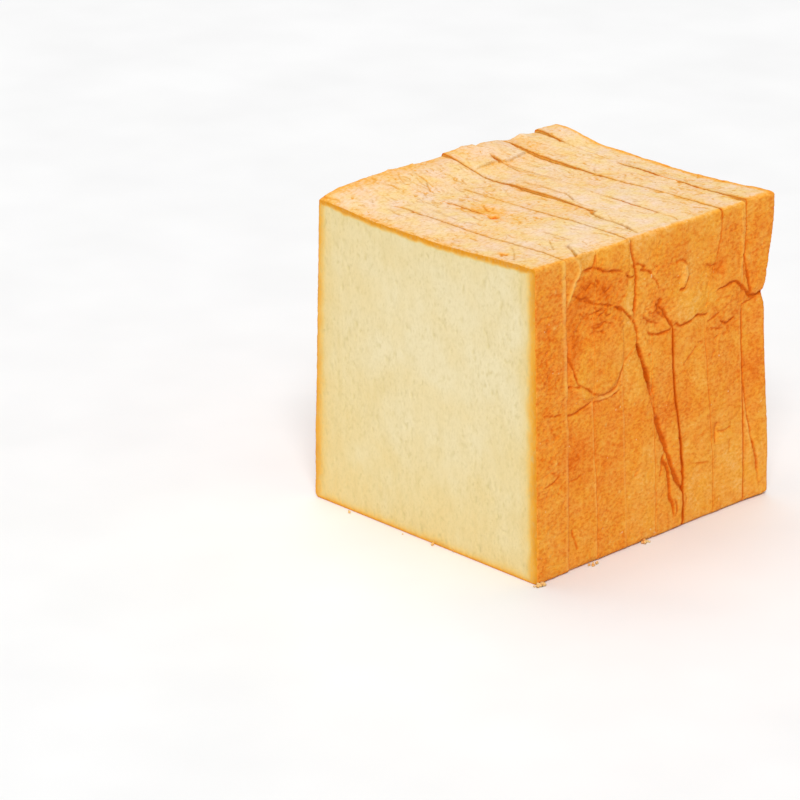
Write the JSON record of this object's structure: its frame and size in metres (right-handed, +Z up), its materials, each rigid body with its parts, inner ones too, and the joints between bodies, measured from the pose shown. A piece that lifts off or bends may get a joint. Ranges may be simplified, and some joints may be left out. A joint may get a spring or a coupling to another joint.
{
  "type": "sliced toast loaf",
  "caption": "Square white toast loaf cut into even slices that stand together as one block, with a creased golden crust and one baked heel.",
  "frame": {"origin": "middle of the underside of the block's bounding box", "axes": "+Z up, +Y along the loaf from the cut face to the baked heel, +X across the slices towards the creased side crust"},
  "size_m": [0.1122, 0.1212, 0.1169],
  "materials": {
    "bread": "matte"
  },
  "bodies": {
    "root": {"slice_1": "bread", "slice_2": "bread", "slice_3": "bread", "slice_4": "bread", "slice_5": "bread", "slice_6": "bread", "slice_7": "bread", "slice_8": "bread"}
  },
  "joints": []
}
